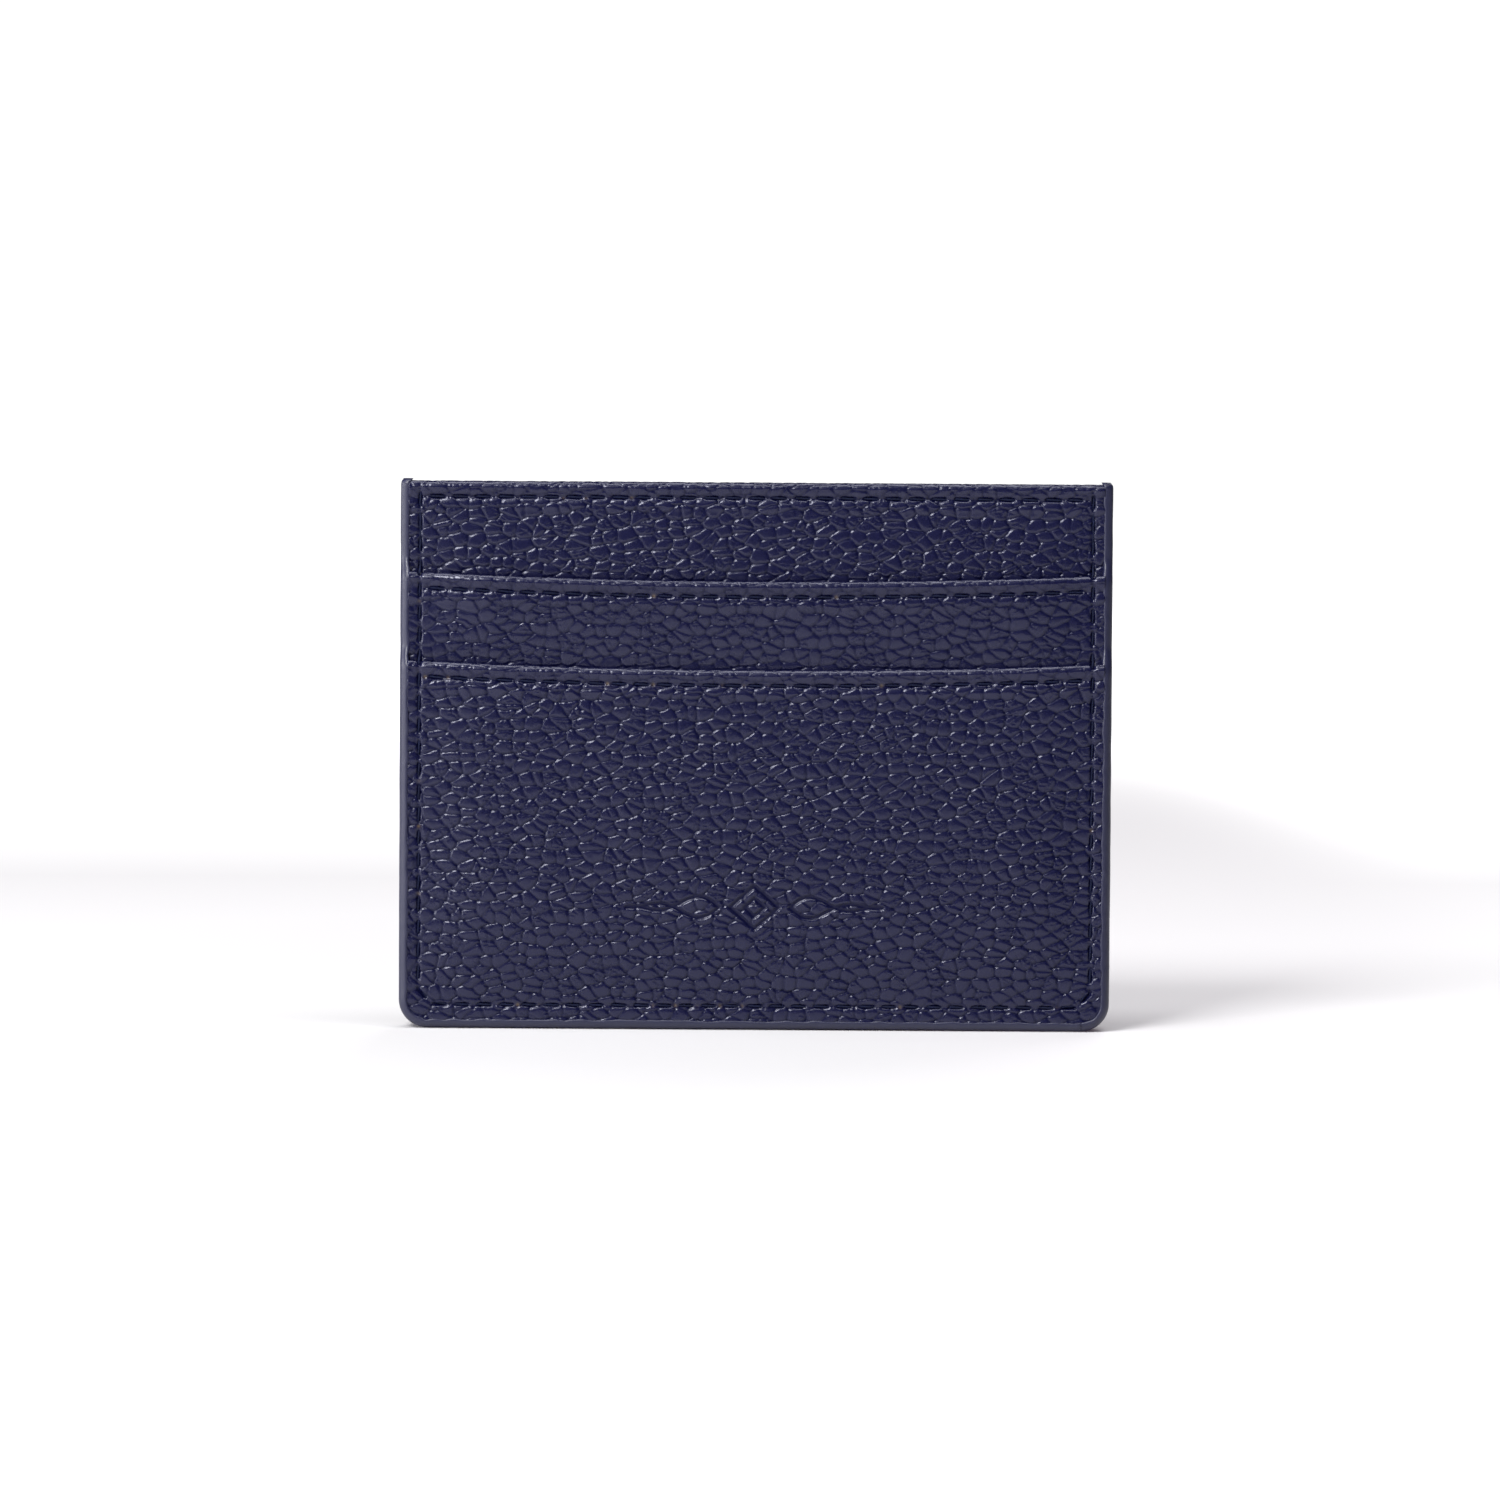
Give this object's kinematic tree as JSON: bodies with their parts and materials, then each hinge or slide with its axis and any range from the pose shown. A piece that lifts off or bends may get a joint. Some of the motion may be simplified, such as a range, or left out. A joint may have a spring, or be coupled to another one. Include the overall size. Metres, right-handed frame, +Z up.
{
  "type": "card holder",
  "caption": "Slim upright card holder in grained synthetic leather, with stepped card pockets, a centre pocket open at the top, stitched hems and a painted edge.",
  "frame": {"origin": "middle of the bottom edge, on the surface the holder stands on", "axes": "+X across the width, to the right as seen from the front; +Y through the thickness, from front to back; +Z up, towards the pocket mouths"},
  "size_m": [0.1, 0.0078, 0.0772],
  "materials": {
    "leather": "pebble-grained synthetic leather, navy, semi-matt",
    "lining": "fine woven lining cloth, dark navy",
    "edge_paint": "smooth satin edge paint, navy",
    "thread": "twisted polyester sewing thread, dark navy"
  },
  "bodies": {
    "root": {"front_body_panel": "leather", "front_upper_pocket": "leather", "front_lower_pocket": "leather", "front_body_lining": "lining", "front_upper_pocket_cloth": "lining", "front_lower_pocket_lining": "lining", "front_top_hem_thread": "thread", "front_upper_hem_thread": "thread", "front_lower_hem_thread": "thread", "front_slot_seam_thread": "thread", "front_edge_seam_thread": "thread", "back_body_panel": "leather", "back_upper_pocket": "leather", "back_lower_pocket": "leather", "back_body_lining": "lining", "back_upper_pocket_cloth": "lining", "back_lower_pocket_lining": "lining", "back_top_hem_thread": "thread", "back_upper_hem_thread": "thread", "back_lower_hem_thread": "thread", "back_slot_seam_thread": "thread", "back_edge_seam_thread": "thread", "edge_paint_left": "edge_paint", "edge_paint_right": "edge_paint", "edge_paint_bottom": "edge_paint"}
  },
  "joints": []
}
